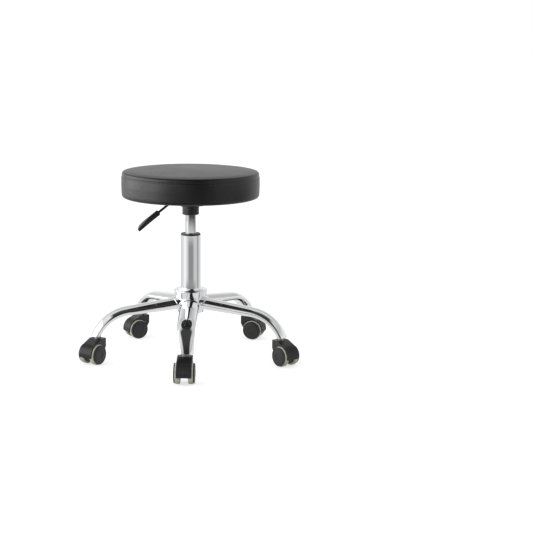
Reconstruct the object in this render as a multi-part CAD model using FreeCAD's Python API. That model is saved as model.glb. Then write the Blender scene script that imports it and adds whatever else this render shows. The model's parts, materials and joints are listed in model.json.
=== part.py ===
import FreeCAD, Part
import math
import os

Vector = FreeCAD.Vector
UP = Vector(0, 0, 1)
ALONG = Vector(1, 0, 0)
ACROSS = Vector(0, 1, 0)
ORIGIN = Vector(0, 0, 0)

# Sizes are in millimetres and angles in degrees.
# The origin is on the floor under the column's axis. +Z is up and leg 1 points along -Y.

# Fits
running_clearance = 0.05
seat_clearance = 0.1
soft_clearance = 0.3
thrust_clearance = 0.2

# Star base
leg_count = 5
first_leg_angle = 270.0
stem_circle_radius = 236.0
leg_tip_overhang = 3.5
leg_tip_slope = 66.0
leg_root_slope = 5.5
leg_bend_radius = 96.5
leg_root_width = 50.0
leg_root_height = 29.0
leg_bend_width = 45.0
leg_bend_height = 22.5
leg_tip_width = 40.0
leg_tip_height = 21.0
leg_wall = 2.0
leg_cavity_end_slope = 50.0
leg_face_radius = 40.0
leg_face_tilt = 22.0
leg_inner_radius = 20.0
leg_sections = 18

# Hub
hub_above_legs = 35.0
hub_below_legs = 22.0
hub_top_radius = 41.5
hub_bottom_radius = 32.0
hub_socket_lip = 2.6
hub_ring_radius = 33.0
hub_ring_height = 2.5
hub_edge_round = 2.5
socket_edge_round = 1.2

# Caster stems
stem_shank_diameter = 11.0
stem_shank_length = 15.0
stem_bore_spare = 1.0
stem_collar_diameter = 17.0
stem_pivot_diameter = 8.0
stem_pivot_length = 21.0
stem_gap = 6.5
grip_ring_depth = 0.9
grip_ring_height = 4.0
grip_ring_rise = 5.0
grip_ring_slit = 2.0

# Casters
caster_headings = (269.0, 310.0, 343.0, 212.0, 238.0)
caster_trail = 20.0
wheel_diameter = 50.0
wheel_width = 15.0
wheel_gap = 19.0
wheel_face_crown = 0.9
wheel_crown_share = 0.7
wheel_cap_thickness = 3.0
wheel_cap_drop = 1.2
wheel_groove_inset = 3.2
wheel_groove_width = 1.6
wheel_groove_depth = 0.9
wheel_dish_diameter = 19.0
wheel_dish_depth = 0.6
tyre_thickness = 4.0
tread_round = 2.6
axle_diameter = 8.0
axle_grip = 11.0
axle_end_clearance = 0.5
hood_width = 36.5
hood_wall = 2.4
hood_rear_height = 20.0
hood_edge_round = 2.0
hood_rib_pitch = 2.8
hood_rib_groove = 0.9
hood_rib_depth = 0.6
wheel_clearance = 1.2
deck_rise = 11.0
deck_front = 11.8
deck_rear = 9.0
deck_cup_diameter = 19.5
deck_cup_depth = 3.8
hood_nose_height = 20.0
hood_nose_slant = 5.5
hood_nose_foot = 31.0
hood_web_reach = 13.0

# Gas lift
lift_down = 35.0
lift_up = 85.0
lift_stop_gap = 1.0
column_diameter = 50.0
column_wall = 1.8
column_exposed = 134.0
column_taper = 1.4
column_floor = 3.0
column_foot = 4.0
bush_length = 78.0
bush_flange_height = 4.0
bush_flange_inset = 0.8
bush_flange_round = 1.5
cylinder_diameter = 28.0
cylinder_wall = 1.5
cylinder_exposed = 46.5
cylinder_taper = 0.8
cylinder_head = 12.0
rod_diameter = 10.0
rod_tail_diameter = 8.0
rod_tail_end = 3.0
rod_collar_diameter = 18.0
rod_collar_height = 2.0
rod_rivet_diameter = 14.0
rod_rivet_height = 3.0
rod_guide_length = 14.0
rod_guide_inset = 2.0
piston_length = 18.0
piston_clearance = 0.2
piston_stop_gap = 10.0
bumper_diameter = 20.0
bumper_height = 12.0
bearing_diameter = 24.0
bearing_race = 1.0
bearing_ball = 3.0
bearing_ball_count = 10
clip_diameter = 15.0
clip_thickness = 1.5
clip_groove = 1.0
tail_washer_diameter = 20.0
tail_washer_thickness = 1.5

# Seat mechanism, laid out with the lever along -X and then turned to its heading
lever_heading = 197.0
plate_length = 180.0
plate_width = 140.0
plate_corner = 18.0
plate_thickness = 2.5
pan_mouth = 96.0
pan_floor = 58.0
pan_mouth_corner = 18.0
pan_floor_corner = 12.0
pan_depth = 21.0
socket_diameter = 38.0
socket_rise = 4.0
collar_diameter = 41.6
collar_drop = 2.0
collar_visible = 23.0
collar_groove_depth = 0.9
collar_groove_height = 2.6
collar_groove_pitch = 6.0
collar_foot_round = 2.5
bolt_spacing_x = 150.0
bolt_spacing_y = 110.0
bolt_diameter = 6.0
bolt_length = 16.0
bolt_head_flats = 10.0
bolt_head_height = 4.0
bolt_hole_clearance = 0.4
bolt_washer_diameter = 13.0
bolt_washer_thickness = 1.2
tee_nut_barrel = 8.0
tee_nut_flange = 18.0
tee_nut_flange_height = 1.5

# Release lever and button
lever_rod_diameter = 6.0
lever_pivot_reach = 25.0
lever_tongue_reach = 6.0
lever_bend_reach = 41.0
lever_bend_radius = 12.0
lever_slope = 37.0
lever_rod_drop_length = 72.0
lever_swing = 8.0
lever_slot_width = 10.0
lever_slot_margin = 3.0
pivot_pin_diameter = 3.0
pivot_ear_thickness = 3.0
pivot_ear_length = 10.0
pivot_ear_gap = 0.6
pivot_ear_top = 5.0
handle_start = 49.0
handle_length = 64.0
handle_sleeve_length = 26.0
handle_sleeve_width = 13.0
handle_sleeve_thickness = 12.0
handle_blade_width = 22.0
handle_blade_thickness = 9.5
handle_tip_thickness = 8.0
handle_droop = 1.5
handle_corner = 2.0
handle_tip_skew = -20.0
button_diameter = 7.0
button_length = 14.0
button_proud = 4.6
button_dome = 1.2
button_gap = 0.4

# Seat
seat_diameter = 340.0
seat_thickness = 62.5
seat_crown = 5.0
seat_top_round = 11.0
seat_bottom_round = 8.0
seat_side_bulge = 1.6
seam_drop = 10.0
seam_depth = 1.6
roll_out_share = 0.76
roll_up_share = 0.70
cover_thickness = 1.4
cover_lip_width = 34.0
board_margin = 18.0
board_thickness = 12.0
dust_cover_thickness = 0.8
dust_cover_margin = 1.0

# Heights worked up from the floor
wheel_radius = wheel_diameter / 2
deck_z = wheel_diameter + deck_rise
leg_tip_z = deck_z + stem_gap
tip_slope = math.radians(leg_tip_slope)
root_slope = math.radians(leg_root_slope)
leg_tip_radius = stem_circle_radius + leg_tip_overhang
bend_start_radius = leg_tip_radius - leg_bend_radius * (math.sin(tip_slope) - math.sin(root_slope))
bend_start_z = leg_tip_z + leg_bend_radius * (math.cos(root_slope) - math.cos(tip_slope))


def leg_axis_z(radius):
    """Height of a leg's centre line on its straight run."""
    return bend_start_z + (bend_start_radius - radius) * math.tan(root_slope)


leg_root_z = leg_axis_z(leg_face_radius)
hub_bottom_z = leg_root_z - hub_below_legs
hub_top_z = leg_root_z + hub_above_legs
ring_top_z = hub_top_z + hub_ring_height
column_radius = column_diameter / 2
column_foot_radius = column_radius - column_taper
column_bottom_z = hub_bottom_z - column_foot
column_floor_z = column_bottom_z + column_floor
clip_top_z = column_bottom_z - tail_washer_thickness
column_top_z = ring_top_z + column_exposed
bush_top_z = column_top_z + bush_flange_height
bearing_top_z = column_floor_z + 2 * bearing_race + bearing_ball
bumper_top_z = bearing_top_z + rod_collar_height + bumper_height
cylinder_radius = cylinder_diameter / 2
cylinder_bore_radius = cylinder_radius - cylinder_wall
cylinder_bottom_z = bumper_top_z + lift_down + lift_stop_gap
rod_guide_top_z = cylinder_bottom_z + rod_guide_inset + rod_guide_length
piston_bottom_z = rod_guide_top_z + lift_up + piston_stop_gap
piston_top_z = piston_bottom_z + piston_length
collar_bottom_z = bush_top_z + cylinder_exposed
socket_bottom_z = collar_bottom_z + collar_drop
pan_floor_z = collar_bottom_z + collar_visible
socket_top_z = pan_floor_z + plate_thickness + socket_rise
cylinder_top_z = socket_top_z
button_top_z = cylinder_top_z + button_proud
button_travel = lever_pivot_reach * math.radians(lever_swing)
lever_z = button_top_z + button_gap + lever_rod_diameter / 2
plate_top_z = pan_floor_z + pan_depth
board_bottom_z = plate_top_z + dust_cover_thickness
seat_bottom_z = board_bottom_z - cover_thickness
seat_top_z = seat_bottom_z + seat_thickness
board_top_z = board_bottom_z + board_thickness
seat_radius = seat_diameter / 2
board_radius = seat_radius - board_margin
seat_turn = lever_heading - 180.0


# Making shapes
def outline(start, *steps):
    """Closed wire in the XZ plane. A step is a point, or a pair of points for an arc through the first."""
    edges = []
    here = Vector(start[0], 0, start[1])
    for step in list(steps) + [start]:
        if isinstance(step[0], tuple):
            middle, end = (Vector(x, 0, z) for x, z in step)
            edges.append(Part.Arc(here, middle, end).toShape())
        else:
            end = Vector(step[0], 0, step[1])
            if (end - here).Length > 1e-6:
                edges.append(Part.makeLine(here, end))
        here = end
    return Part.Wire(edges)


def turned(wire):
    """Solid of an XZ outline turned round the Z axis."""
    return Part.Face(wire).revolve(ORIGIN, UP, 360)


def disc(radius, bottom, top):
    return Part.makeCylinder(radius, top - bottom, Vector(0, 0, bottom))


def tube(outer, inner, bottom, top):
    return disc(outer, bottom, top).cut(disc(inner, bottom, top))


def corner_arc(centre, radius, start_angle, end_angle):
    """Middle and end of an arc about a centre in the XZ plane, as an outline step."""
    points = []
    for angle in ((start_angle + end_angle) / 2, end_angle):
        turn = math.radians(angle)
        points.append((centre[0] + radius * math.cos(turn), centre[1] + radius * math.sin(turn)))
    return tuple(points)


def cap_arc(edge_radius, edge_z, rise):
    """Outline step from the rim of a shallow dome to its crest on the axis."""
    radius = (edge_radius ** 2 + rise ** 2) / (2 * rise)
    centre = (0, edge_z + rise - radius)
    rim_angle = math.degrees(math.acos(edge_radius / radius))
    return corner_arc(centre, radius, rim_angle, 90)


def spun(shape, angle):
    """Copy of a shape turned about the column's axis."""
    copy = shape.copy()
    copy.rotate(ORIGIN, UP, angle)
    return copy


def copies_at(shape, places):
    """One compound of copies of a shape, one moved to each place."""
    copies = []
    for place in places:
        copy = shape.copy()
        copy.translate(place)
        copies.append(copy)
    return Part.Compound(copies)


def on_circle(radius, angle):
    turn = math.radians(angle)
    return Vector(radius * math.cos(turn), radius * math.sin(turn), 0)


def rounded_rectangle(centre, along, across, length, width, corner):
    """Rounded rectangle wire on two unit directions."""
    half_length, half_width = length / 2, width / 2

    def place(a, b):
        return centre + along * a + across * b

    edges = []
    bevel = corner * (1 - math.sqrt(0.5))
    for a_side, b_side, first_is_long in ((1, -1, True), (1, 1, False), (-1, 1, True), (-1, -1, False)):
        near_a = place(a_side * (half_length - corner), b_side * half_width)
        near_b = place(a_side * half_length, b_side * (half_width - corner))
        middle = place(a_side * (half_length - bevel), b_side * (half_width - bevel))
        first, last = (near_a, near_b) if first_is_long else (near_b, near_a)
        if edges:
            edges.append(Part.makeLine(edges[-1].valueAt(edges[-1].LastParameter), first))
        edges.append(Part.Arc(first, middle, last).toShape())
    last_end = edges[-1].valueAt(edges[-1].LastParameter)
    first_start = edges[0].valueAt(edges[0].FirstParameter)
    edges.append(Part.makeLine(last_end, first_start))
    return Part.Wire(edges)


def hexagon_prism(flats, bottom, top):
    corner = flats / math.sqrt(3)
    points = [on_circle(corner, 60 * k) + Vector(0, 0, bottom) for k in range(7)]
    return Part.Face(Part.makePolygon(points)).extrude(Vector(0, 0, top - bottom))


# Star base
def oval(radius, z, slope, width, height):
    """Flat oval across a leg that runs along +X, square to its slope."""
    centre = Vector(radius, 0, z)
    rise = Vector(math.sin(slope), 0, math.cos(slope))
    ellipse = Part.Ellipse(centre + ACROSS * (width / 2), centre + rise * (height / 2), centre)
    return Part.Wire([ellipse.toShape()])


def leg_station(distance):
    """Place on a leg's centre line, measured from its inner end, with its slope and section."""
    straight = (bend_start_radius - leg_inner_radius) / math.cos(root_slope)
    bend = leg_bend_radius * (tip_slope - root_slope)
    if distance <= straight:
        share = distance / straight
        radius = leg_inner_radius + distance * math.cos(root_slope)
        width = leg_root_width + share * (leg_bend_width - leg_root_width)
        height = leg_root_height + share * (leg_bend_height - leg_root_height)
        return radius, leg_axis_z(radius), root_slope, width, height
    share = min((distance - straight) / bend, 1.0)
    slope = root_slope + share * (tip_slope - root_slope)
    past_tip = max(distance - straight - bend, 0.0)
    radius = bend_start_radius + leg_bend_radius * (math.sin(slope) - math.sin(root_slope))
    z = bend_start_z - leg_bend_radius * (math.cos(root_slope) - math.cos(slope))
    width = leg_bend_width + share * (leg_tip_width - leg_bend_width)
    height = leg_bend_height + share * (leg_tip_height - leg_bend_height)
    return radius + past_tip * math.cos(slope), z - past_tip * math.sin(slope), slope, width, height


def leg_loft(end_slope, past_tip, trim):
    """Oval solid along a leg's centre line, evenly sectioned, smaller all round by the trim."""
    straight = (bend_start_radius - leg_inner_radius) / math.cos(root_slope)
    length = straight + leg_bend_radius * (end_slope - root_slope) + past_tip
    wires = []
    for step in range(leg_sections + 1):
        radius, z, slope, width, height = leg_station(length * step / leg_sections)
        wires.append(oval(radius, z, slope, width - 2 * trim, height - 2 * trim))
    return Part.makeLoft(wires, True)


def leg_face_block(outwards):
    """Block on one side of the plane where a leg meets its hub socket."""
    size = 2 * leg_tip_radius
    block = Part.makeBox(size, size, size, Vector(0 if outwards else -size, -size / 2, -size / 2))
    block.rotate(ORIGIN, ACROSS, leg_face_tilt)
    block.translate(Vector(leg_face_radius, 0, leg_root_z))
    return block


def make_leg():
    """Leg along +X: an oval tube with a solid tip that is bored for its stem."""
    body = leg_loft(tip_slope, leg_tip_height, 0)
    hollow = leg_loft(math.radians(leg_cavity_end_slope), 0, leg_wall)
    body = body.cut(hollow).cut(leg_face_block(outwards=False))
    below = Part.makeBox(4 * leg_tip_width, 4 * leg_tip_width, leg_tip_z)
    below.translate(Vector(leg_tip_radius - 2 * leg_tip_width, -2 * leg_tip_width, 0))
    bore_radius = stem_shank_diameter / 2 + seat_clearance
    bore = disc(bore_radius, leg_tip_z, leg_tip_z + stem_shank_length + stem_bore_spare)
    bore.translate(Vector(stem_circle_radius, 0, 0))
    return body.cut(below).cut(bore)


def column_radius_at(z):
    """Outside radius of the column, which tapers from the hub's ring down to its foot."""
    taper_length = ring_top_z - column_bottom_z
    return column_foot_radius + column_taper * (z - column_bottom_z) / taper_length


def make_hub():
    """Flared drum with a ring round the column and an oval socket for each leg."""
    bore_top = column_radius + seat_clearance
    bore_bottom = column_radius_at(hub_bottom_z) + seat_clearance
    flare = math.degrees(math.atan2(hub_top_radius - hub_bottom_radius, hub_top_z - hub_bottom_z))
    top_centre = (hub_top_radius - hub_edge_round, hub_top_z - hub_edge_round)
    edge_start = corner_arc(top_centre, hub_edge_round, -flare, -flare)[1]
    drum = turned(outline(
        (bore_bottom, hub_bottom_z),
        (hub_bottom_radius, hub_bottom_z),
        edge_start,
        corner_arc(top_centre, hub_edge_round, -flare, 90),
        (hub_ring_radius, hub_top_z),
        (hub_ring_radius - hub_ring_height / 2, ring_top_z),
        (bore_top, ring_top_z),
    ))
    socket_width = leg_root_width + 2 * hub_socket_lip
    socket_height = leg_root_height + 2 * hub_socket_lip
    start = oval(leg_inner_radius, leg_axis_z(leg_inner_radius), root_slope, socket_width, socket_height)
    run = 2 * leg_face_radius
    socket = Part.Face(start).extrude(Vector(run, 0, -run * math.tan(root_slope)))
    socket = socket.cut(leg_face_block(outwards=True))
    rim = max(socket.Edges, key=lambda edge: edge.CenterOfMass.x)
    socket = socket.makeFillet(socket_edge_round, [rim])
    hub = drum
    for k in range(leg_count):
        hub = hub.fuse(spun(socket, first_leg_angle + k * 360 / leg_count))
    bore = turned(outline(
        (0, hub_bottom_z),
        (bore_bottom, hub_bottom_z),
        (bore_top, ring_top_z),
        (0, ring_top_z),
    ))
    return hub.cut(bore).removeSplitter()


def stem_places():
    for k in range(leg_count):
        yield on_circle(stem_circle_radius, first_leg_angle + k * 360 / leg_count)


def make_stem():
    shank_radius = stem_shank_diameter / 2
    pivot_radius = stem_pivot_diameter / 2
    collar_radius = stem_collar_diameter / 2
    collar_z = deck_z - deck_cup_depth + thrust_clearance
    groove_z = leg_tip_z + grip_ring_rise
    groove_radius = shank_radius - grip_ring_depth
    return turned(outline(
        (0, collar_z - stem_pivot_length),
        (pivot_radius, collar_z - stem_pivot_length),
        (pivot_radius, collar_z),
        (collar_radius, collar_z),
        (collar_radius, leg_tip_z),
        (shank_radius, leg_tip_z),
        (shank_radius, groove_z),
        (groove_radius, groove_z),
        (groove_radius, groove_z + grip_ring_height),
        (shank_radius, groove_z + grip_ring_height),
        (shank_radius, leg_tip_z + stem_shank_length),
        (0, leg_tip_z + stem_shank_length),
    ))


def make_grip_ring():
    outer = stem_shank_diameter / 2
    inner = outer - grip_ring_depth + seat_clearance
    bottom = leg_tip_z + grip_ring_rise + seat_clearance
    top = leg_tip_z + grip_ring_rise + grip_ring_height - seat_clearance
    slit = Part.makeBox(outer, grip_ring_slit, top - bottom, Vector(0, -grip_ring_slit / 2, bottom))
    return tube(outer, inner, bottom, top).cut(slit)


def at_every_stem(shape):
    return copies_at(shape, stem_places())


# Gas lift
def make_column_tube():
    inner = column_radius - column_wall
    inner_foot = column_foot_radius - column_wall
    tail_hole = rod_tail_diameter / 2 + running_clearance
    return turned(outline(
        (tail_hole, column_bottom_z),
        (column_foot_radius, column_bottom_z),
        (column_radius, ring_top_z),
        (column_radius, column_top_z),
        (inner, column_top_z),
        (inner, ring_top_z),
        (inner_foot, column_floor_z),
        (tail_hole, column_floor_z),
    ))


def make_guide_bushing():
    bore = cylinder_radius + running_clearance
    sleeve = column_radius - column_wall - seat_clearance
    flange = column_radius - bush_flange_inset
    round_centre = (flange - bush_flange_round, bush_top_z - bush_flange_round)
    return turned(outline(
        (bore, column_top_z - bush_length),
        (sleeve, column_top_z - bush_length),
        (sleeve, column_top_z),
        (flange, column_top_z),
        (flange, round_centre[1]),
        corner_arc(round_centre, bush_flange_round, 0, 90),
        (bore, bush_top_z),
    ))


def make_thrust_bearing():
    outer = bearing_diameter / 2
    inner = rod_tail_diameter / 2 + seat_clearance
    lower_top = column_floor_z + bearing_race
    ball_radius = bearing_ball / 2
    pieces = [tube(outer, inner, column_floor_z, lower_top)]
    pieces.append(tube(outer, inner, bearing_top_z - bearing_race, bearing_top_z))
    for k in range(bearing_ball_count):
        place = on_circle((outer + inner) / 2, k * 360 / bearing_ball_count)
        ball_centre = place + Vector(0, 0, lower_top + ball_radius)
        pieces.append(Part.makeSphere(ball_radius - running_clearance, ball_centre))
    return Part.Compound(pieces)


def make_piston_rod():
    rod = rod_diameter / 2
    tail = rod_tail_diameter / 2
    groove = tail - clip_groove
    tail_bottom = clip_top_z - clip_thickness - rod_tail_end
    return turned(outline(
        (0, tail_bottom),
        (tail, tail_bottom),
        (tail, clip_top_z - clip_thickness),
        (groove, clip_top_z - clip_thickness),
        (groove, clip_top_z),
        (tail, clip_top_z),
        (tail, bearing_top_z),
        (rod_collar_diameter / 2, bearing_top_z),
        (rod_collar_diameter / 2, bearing_top_z + rod_collar_height),
        (rod, bearing_top_z + rod_collar_height),
        (rod, piston_top_z),
        (rod_rivet_diameter / 2, piston_top_z),
        (rod_rivet_diameter / 2, piston_top_z + rod_rivet_height),
        (0, piston_top_z + rod_rivet_height),
    ))


def make_piston_head():
    outer = cylinder_bore_radius - piston_clearance
    return tube(outer, rod_diameter / 2 + running_clearance, piston_bottom_z, piston_top_z)


def make_rod_clip():
    tail = rod_tail_diameter / 2
    washer = tube(tail_washer_diameter / 2, tail + seat_clearance, clip_top_z, column_bottom_z)
    groove = tail - clip_groove + running_clearance
    clip = tube(clip_diameter / 2, groove, clip_top_z - clip_thickness, clip_top_z)
    mouth = Part.makeBox(clip_diameter, 2 * groove, clip_thickness)
    mouth.translate(Vector(0, -groove, clip_top_z - clip_thickness))
    return Part.Compound([washer, clip.cut(mouth)])


def make_stop_bumper():
    inner = rod_diameter / 2 + seat_clearance
    return tube(bumper_diameter / 2, inner, bumper_top_z - bumper_height, bumper_top_z)


def make_gas_cylinder():
    head_radius = cylinder_radius - cylinder_taper
    pin_hole = button_diameter / 2 + running_clearance
    bore_top = cylinder_top_z - cylinder_head - button_length
    pin_floor = button_top_z - button_length - button_travel - seat_clearance
    return turned(outline(
        (cylinder_bore_radius, cylinder_bottom_z),
        (cylinder_radius, cylinder_bottom_z),
        (cylinder_radius, socket_bottom_z),
        (head_radius, cylinder_top_z),
        (pin_hole, cylinder_top_z),
        (pin_hole, pin_floor),
        (0, pin_floor),
        (0, bore_top),
        (cylinder_bore_radius, bore_top),
    ))


def make_rod_guide():
    outer = cylinder_bore_radius - seat_clearance
    bottom = rod_guide_top_z - rod_guide_length
    return tube(outer, rod_diameter / 2 + running_clearance, bottom, rod_guide_top_z)


# Seat mechanism
def make_taper_socket():
    wide = cylinder_radius + seat_clearance
    slim = cylinder_radius - cylinder_taper + seat_clearance
    return turned(outline(
        (wide, socket_bottom_z),
        (socket_diameter / 2, socket_bottom_z),
        (socket_diameter / 2, socket_top_z),
        (slim, socket_top_z),
    ))


def make_socket_collar():
    """Plastic sleeve under the pan with two ring grooves and a rounded foot."""
    outer = collar_diameter / 2
    inner = socket_diameter / 2 + seat_clearance
    mouth = cylinder_radius + soft_clearance
    foot_centre = (outer - collar_foot_round, collar_bottom_z + collar_foot_round)
    sleeve = turned(outline(
        (mouth, collar_bottom_z),
        (foot_centre[0], collar_bottom_z),
        corner_arc(foot_centre, collar_foot_round, -90, 0),
        (outer, pan_floor_z),
        (inner, pan_floor_z),
        (inner, socket_bottom_z),
        (mouth, socket_bottom_z),
    ))
    for k in (1, 2):
        groove_z = collar_bottom_z + k * collar_groove_pitch
        groove_top = groove_z + collar_groove_height
        sleeve = sleeve.cut(tube(outer, outer - collar_groove_depth, groove_z, groove_top))
    return sleeve


def bolt_places():
    for x_side in (-1, 1):
        for y_side in (-1, 1):
            yield Vector(x_side * bolt_spacing_x / 2, y_side * bolt_spacing_y / 2, 0)


def at_bolts(shape):
    return copies_at(shape, bolt_places())


def square_wire(z, side, corner):
    return rounded_rectangle(Vector(0, 0, z), ALONG, ACROSS, side, side, corner)


def make_seat_plate():
    """Pressed steel plate: a bolted flange round a pan, with two ears for the lever's pivot."""
    wall = plate_thickness
    flange_bottom = plate_top_z - plate_thickness
    flange_centre = Vector(0, 0, flange_bottom)
    flange_wire = rounded_rectangle(flange_centre, ALONG, ACROSS, plate_length, plate_width, plate_corner)
    flange = Part.Face(flange_wire).extrude(Vector(0, 0, plate_thickness))
    pan = Part.makeLoft([
        square_wire(pan_floor_z, pan_floor, pan_floor_corner),
        square_wire(plate_top_z, pan_mouth, pan_mouth_corner)], True, True)
    hollow = Part.makeLoft([
        square_wire(pan_floor_z + wall, pan_floor - 2 * wall, pan_floor_corner - wall),
        square_wire(plate_top_z, pan_mouth - 2 * wall, pan_mouth_corner - wall)], True, True)
    plate = flange.fuse(pan).cut(hollow)
    socket_hole = disc(socket_diameter / 2 + seat_clearance, pan_floor_z, pan_floor_z + wall)
    rod_radius = lever_rod_diameter / 2
    slot = Part.makeBox(pan_mouth / 2, lever_slot_width, lever_rod_diameter + 2 * lever_slot_margin)
    slot.translate(Vector(-pan_mouth / 2, -lever_slot_width / 2, lever_z - rod_radius - lever_slot_margin))
    plate = plate.cut(socket_hole).cut(slot)
    bolt_hole = disc(bolt_diameter / 2 + bolt_hole_clearance, flange_bottom, plate_top_z)
    plate = plate.cut(at_bolts(bolt_hole))
    ear_bottom = pan_floor_z + wall
    ear_top = lever_z + pivot_ear_top
    pin_hole = pivot_pin_diameter / 2 + running_clearance
    for y_side in (-1, 1):
        inner_y = rod_radius + pivot_ear_gap
        low_y = inner_y if y_side > 0 else -inner_y - pivot_ear_thickness
        ear = Part.makeBox(pivot_ear_length, pivot_ear_thickness, ear_top - ear_bottom)
        ear.translate(Vector(-lever_pivot_reach - pivot_ear_length / 2, low_y, ear_bottom))
        hole_start = Vector(-lever_pivot_reach, low_y, lever_z)
        hole = Part.makeCylinder(pin_hole, pivot_ear_thickness, hole_start, ACROSS)
        plate = plate.fuse(ear.cut(hole))
    return plate.removeSplitter()


def make_plate_bolts():
    washer_top = plate_top_z - plate_thickness
    head_top = washer_top - bolt_washer_thickness
    shank_radius = bolt_diameter / 2
    head = hexagon_prism(bolt_head_flats, head_top - bolt_head_height, head_top)
    bolt = head.fuse(disc(shank_radius, head_top, head_top + bolt_length)).removeSplitter()
    washer = tube(bolt_washer_diameter / 2, shank_radius + seat_clearance, head_top, washer_top)
    return Part.Compound([at_bolts(bolt), at_bolts(washer)])


def make_tee_nuts():
    flange_bottom = board_top_z - tee_nut_flange_height
    barrel = disc(tee_nut_barrel / 2, board_bottom_z, flange_bottom)
    flange = disc(tee_nut_flange / 2, flange_bottom, board_top_z)
    bore = disc(bolt_diameter / 2 + running_clearance, board_bottom_z, board_top_z)
    return at_bolts(barrel.fuse(flange).cut(bore).removeSplitter())


# Release lever and button
def lever_slope_point(distance):
    """Point on the lever's sloping run, measured from where its two runs would cross."""
    slope = math.radians(lever_slope)
    return Vector(-lever_bend_reach - distance * math.cos(slope), 0, lever_z - distance * math.sin(slope))


def make_lever_rod():
    slope = math.radians(lever_slope)
    tangent = lever_bend_radius * math.tan(slope / 2)
    start = Vector(lever_tongue_reach, 0, lever_z)
    bend_start = Vector(-lever_bend_reach + tangent, 0, lever_z)
    bend_end = lever_slope_point(tangent)
    centre = bend_start - Vector(0, 0, lever_bend_radius)
    bend_middle = centre + Vector(-math.sin(slope / 2), 0, math.cos(slope / 2)) * lever_bend_radius
    path = Part.Wire([
        Part.makeLine(start, bend_start),
        Part.Arc(bend_start, bend_middle, bend_end).toShape(),
        Part.makeLine(bend_end, lever_slope_point(lever_rod_drop_length))])
    section = Part.Wire([Part.makeCircle(lever_rod_diameter / 2, start, Vector(-1, 0, 0))])
    rod = path.makePipeShell([section], True, False)
    reach = lever_rod_diameter
    hole_radius = pivot_pin_diameter / 2 + running_clearance
    hole_start = Vector(-lever_pivot_reach, -reach, lever_z)
    return rod.cut(Part.makeCylinder(hole_radius, 2 * reach, hole_start, ACROSS))


def make_lever_handle():
    """Drooping paddle: a thick sleeve on the rod that thins to a wider blade."""
    slope = math.radians(lever_slope)
    stations = (
        (0.0, handle_sleeve_width, handle_sleeve_thickness),
        (handle_sleeve_length / 2, handle_sleeve_width, handle_sleeve_thickness),
        (handle_sleeve_length, handle_sleeve_width, handle_sleeve_thickness),
        ((handle_sleeve_length + handle_length) / 2, handle_blade_width, handle_blade_thickness),
        (handle_length, handle_blade_width, handle_tip_thickness),
    )
    wires = []
    for distance, width, thickness in stations:
        share = max(0.0, (distance - handle_sleeve_length) / (handle_length - handle_sleeve_length))
        tilt = slope + math.radians(2 * handle_droop * share)
        raised = Vector(-math.sin(tilt), 0, math.cos(tilt))
        ahead = Vector(-math.cos(tilt), 0, -math.sin(tilt))
        skew = math.radians(handle_tip_skew if distance == handle_length else 0)
        across = ACROSS * math.cos(skew) + ahead * math.sin(skew)
        centre = lever_slope_point(handle_start + distance) - raised * (handle_droop * share * share)
        wires.append(rounded_rectangle(centre, across, raised, width, thickness, handle_corner))
    handle = Part.makeLoft(wires, True)
    axis = lever_slope_point(1) - lever_slope_point(0)
    depth = lever_rod_drop_length - handle_start + seat_clearance
    bore_radius = lever_rod_diameter / 2 + seat_clearance
    return handle.cut(Part.makeCylinder(bore_radius, depth, lever_slope_point(handle_start), axis))


def make_pivot_pin():
    length = lever_rod_diameter + 2 * (pivot_ear_gap + pivot_ear_thickness)
    start = Vector(-lever_pivot_reach, -length / 2, lever_z)
    return Part.makeCylinder(pivot_pin_diameter / 2, length, start, ACROSS)


def make_release_button():
    radius = button_diameter / 2
    return turned(outline(
        (0, button_top_z - button_length),
        (radius, button_top_z - button_length),
        (radius, button_top_z - button_dome),
        cap_arc(radius, button_top_z - button_dome, button_dome),
    ))


# Seat
def cushion_outline(inset):
    """Half section of the cushion from its bottom edge to the middle of its top, set in all round."""
    radius = seat_radius - inset
    bottom = seat_bottom_z + inset
    shoulder = seat_top_z - inset
    low_round = seat_bottom_round - inset
    waist = radius - seat_side_bulge
    seam_z = seat_top_z - seam_drop
    seam_radius = radius - seam_depth
    top_edge = radius - seat_top_round
    low_centre = (waist - low_round, bottom + low_round)
    start = (low_centre[0], bottom)
    side_middle_z = (low_centre[1] + seam_z) / 2
    roll_middle = (
        top_edge + (seam_radius - top_edge) * roll_out_share,
        seam_z + (shoulder - seam_z) * roll_up_share)
    steps = [
        corner_arc(low_centre, low_round, -90, 0),
        ((radius, side_middle_z), (seam_radius, seam_z)),
        (roll_middle, (top_edge, shoulder)),
        cap_arc(top_edge, shoulder, seat_crown),
    ]
    return start, steps


def cushion_solid(inset):
    start, steps = cushion_outline(inset)
    return turned(outline(start, *steps, (0, start[1])))


def make_seat_cover():
    lip_radius = seat_radius - cover_lip_width
    opening = disc(lip_radius, seat_bottom_z, seat_bottom_z + cover_thickness)
    return cushion_solid(0).cut(cushion_solid(cover_thickness)).cut(opening)


def make_seat_foam():
    clear = soft_clearance
    board_space = disc(board_radius + clear, seat_bottom_z, board_top_z + clear)
    return cushion_solid(cover_thickness + clear).cut(board_space)


def make_seat_board():
    board = disc(board_radius, board_bottom_z, board_top_z)
    flange_bottom = board_top_z - tee_nut_flange_height
    holes = at_bolts(disc(tee_nut_barrel / 2 + seat_clearance, board_bottom_z, board_top_z))
    recesses = at_bolts(disc(tee_nut_flange / 2 + seat_clearance, flange_bottom, board_top_z))
    return board.cut(holes).cut(recesses)


def make_dust_cover():
    radius = seat_radius - cover_lip_width - dust_cover_margin
    cloth = disc(radius, plate_top_z, board_bottom_z)
    return cloth.cut(at_bolts(disc(bolt_diameter / 2 + bolt_hole_clearance, plate_top_z, board_bottom_z)))


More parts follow.
